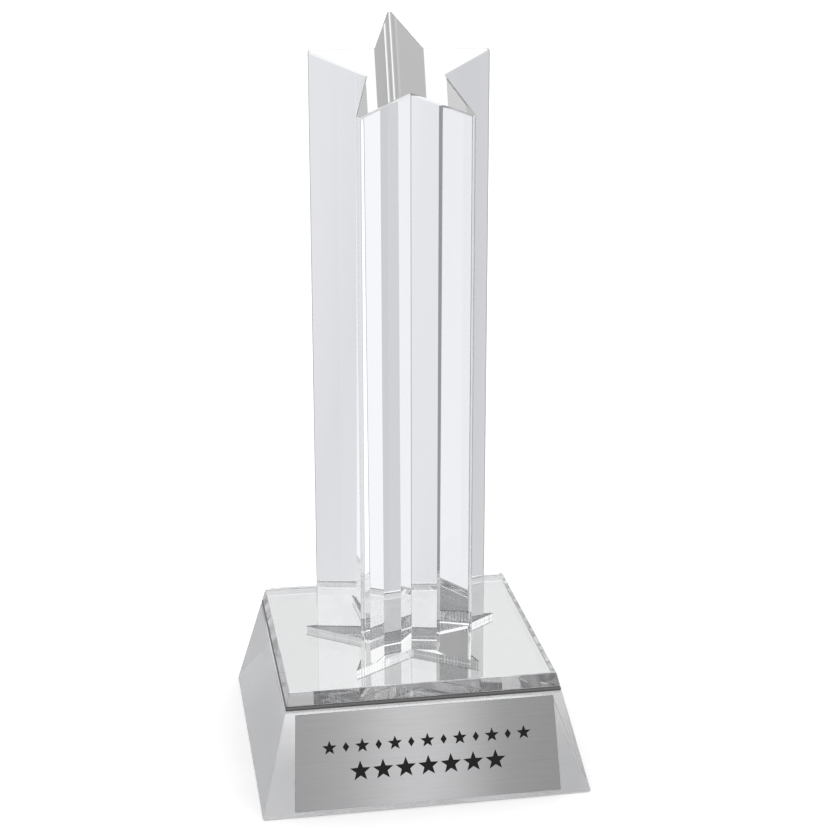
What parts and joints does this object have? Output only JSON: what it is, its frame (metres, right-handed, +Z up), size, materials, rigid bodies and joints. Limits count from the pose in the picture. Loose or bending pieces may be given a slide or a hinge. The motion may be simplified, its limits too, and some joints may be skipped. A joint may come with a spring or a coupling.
{
  "type": "star trophy",
  "caption": "Desk award: clear star-shaped column with a slanted top, standing in a star slot on a square mirror-backed base with leaning sides and a brushed name plate.",
  "frame": {"origin": "centre of the square face that the award stands on", "axes": "+Z up along the column, -Y to the front with the name plate, +X to the viewer's right"},
  "size_m": [0.1138, 0.1142, 0.2594],
  "materials": {
    "clear_column": "polished clear acrylic",
    "clear_glue": "clear cured adhesive",
    "clear_plate": "polished clear acrylic with laser-cut slot",
    "mirror_sheet": "silvered acrylic with dark edges",
    "adhesive": "satin adhesive film",
    "clear_base": "polished clear acrylic block",
    "brushed_plate": "brushed silver"
  },
  "bodies": {
    "root": {"star_column": "clear_column", "column_glue": "clear_glue", "top_plate": "clear_plate", "mirror_sheet": "mirror_sheet", "mirror_tape": "adhesive", "base_block": "clear_base", "name_plate_tape": "adhesive", "name_plate": "brushed_plate"}
  },
  "joints": []
}
